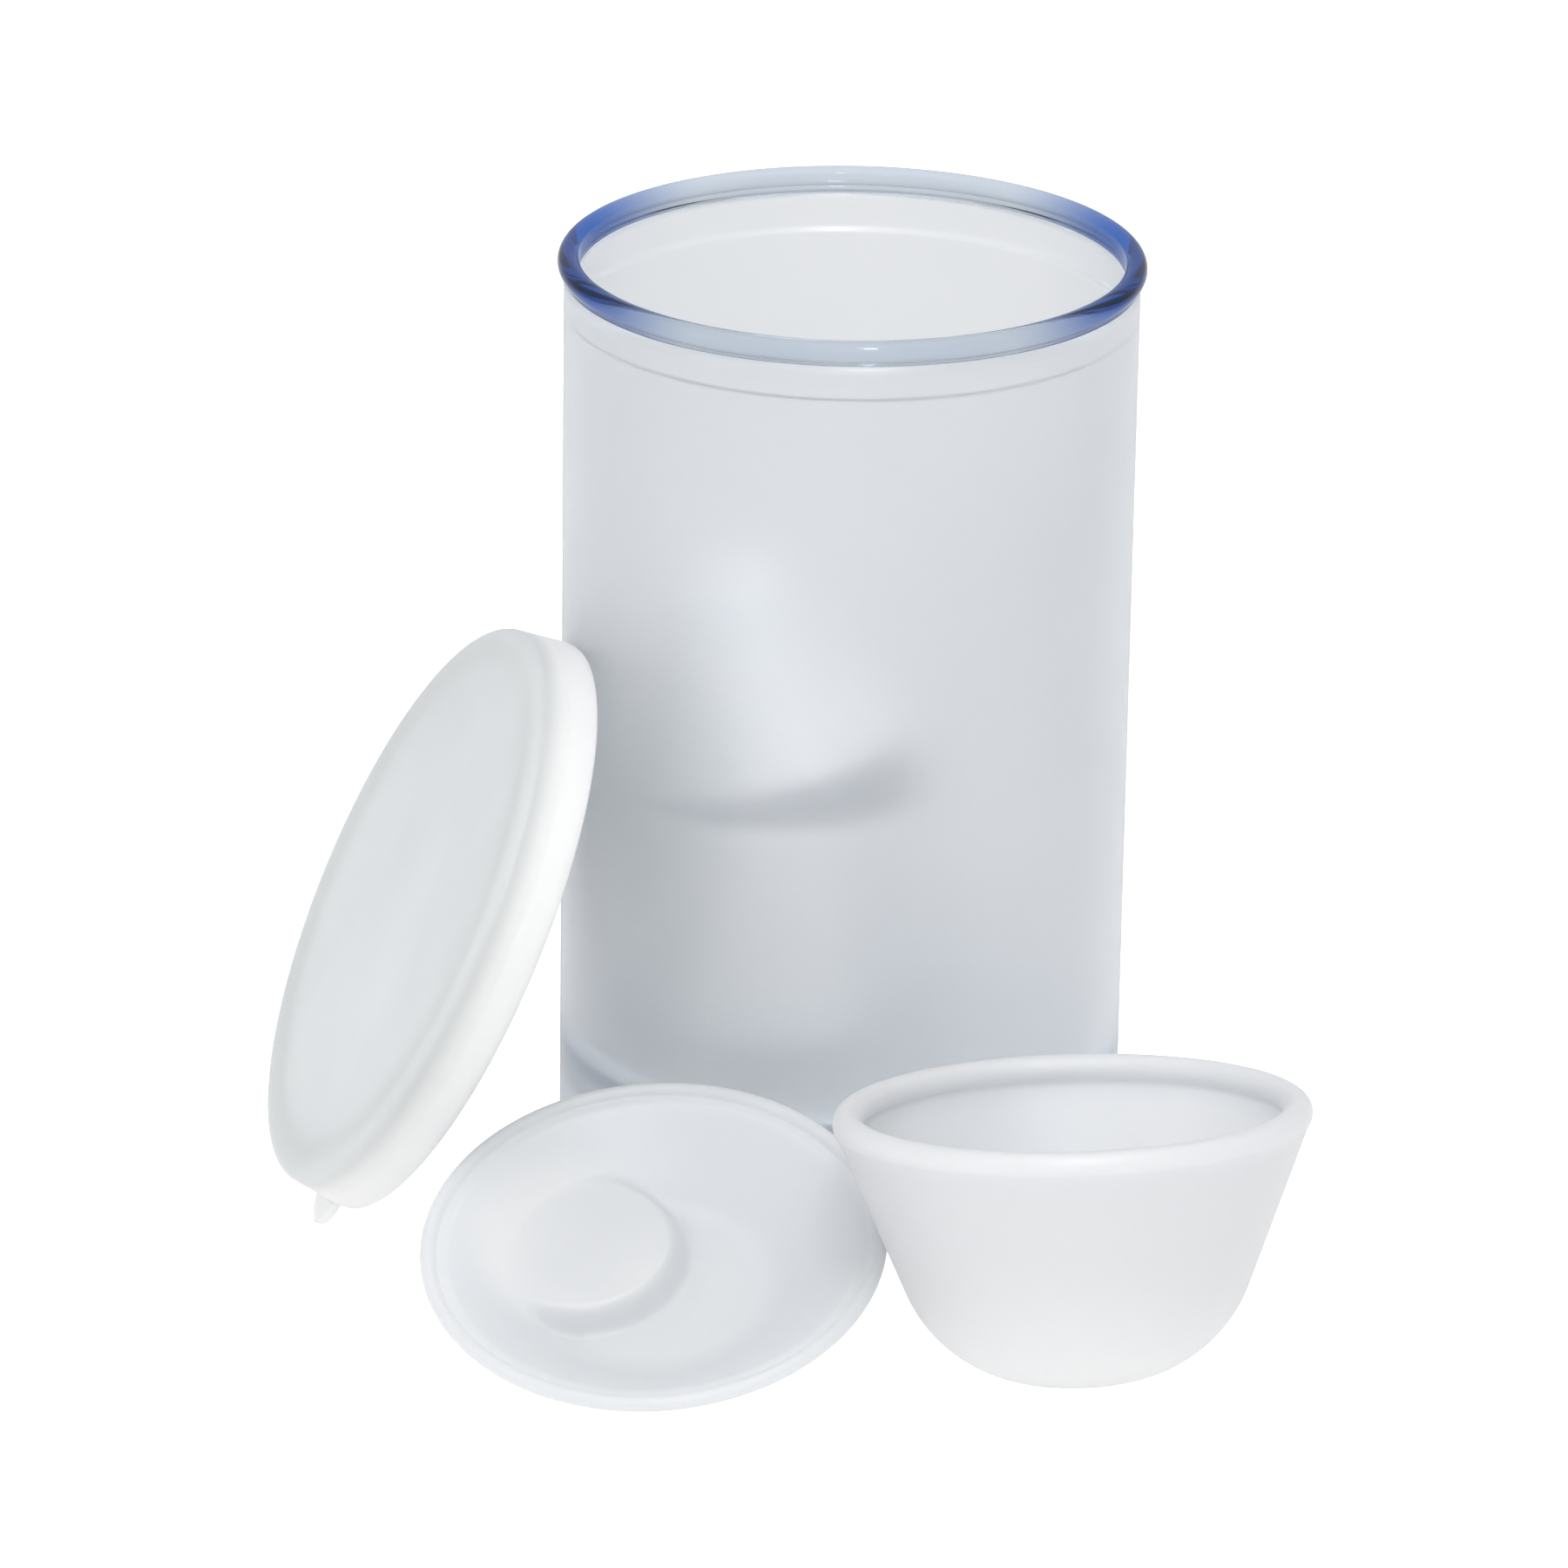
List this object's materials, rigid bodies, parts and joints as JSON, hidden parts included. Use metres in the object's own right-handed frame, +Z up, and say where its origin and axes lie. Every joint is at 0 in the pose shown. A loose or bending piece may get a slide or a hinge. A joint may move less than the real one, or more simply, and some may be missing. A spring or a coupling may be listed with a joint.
{
  "type": "plaster casting mould set",
  "caption": "Clear snap-cap jar with its loose lid leaning on it, a soft mould cup and shallow mould dish in front, and a small cup under a small dome inside.",
  "frame": {"origin": "centre of the whole set's footprint, on the table", "axes": "+Z up, +X to the set's right, -Y to the front, where the dish and the cup stand"},
  "size_m": [0.1264, 0.1378, 0.116],
  "materials": {
    "clear_plastic": "clear, faint blue tint, glossy",
    "milky_plastic": "translucent, satin",
    "soft_milky": "translucent, soft satin"
  },
  "bodies": {
    "jar_body": {"jar": "clear_plastic"},
    "lid_body": {"lid": "milky_plastic"},
    "cup_body": {"mould_cup": "soft_milky"},
    "dish_body": {"mould_dish": "soft_milky"},
    "small_cup_body": {"small_cup": "soft_milky"},
    "small_dome_body": {"small_dome": "soft_milky"}
  },
  "joints": [
    {"name": "lid_lift", "type": "slide", "parent": "jar_body", "child": "lid_body", "axis": [-0.8876, -0.1679, 0.4288], "range_m": [0, 0.06]},
    {"name": "cup_lift", "type": "slide", "parent": "jar_body", "child": "cup_body", "axis": [0, 0, 1], "range_m": [0, 0.08]},
    {"name": "dish_slide", "type": "slide", "parent": "jar_body", "child": "dish_body", "axis": [-0.3495, -0.799, 0.4894], "range_m": [0, 0.07]},
    {"name": "small_cup_lift", "type": "slide", "parent": "jar_body", "child": "small_cup_body", "axis": [0, 0, 1], "range_m": [0, 0.13]},
    {"name": "small_dome_lift", "type": "slide", "parent": "small_cup_body", "child": "small_dome_body", "axis": [0, 0, 1], "range_m": [0, 0.08]}
  ]
}
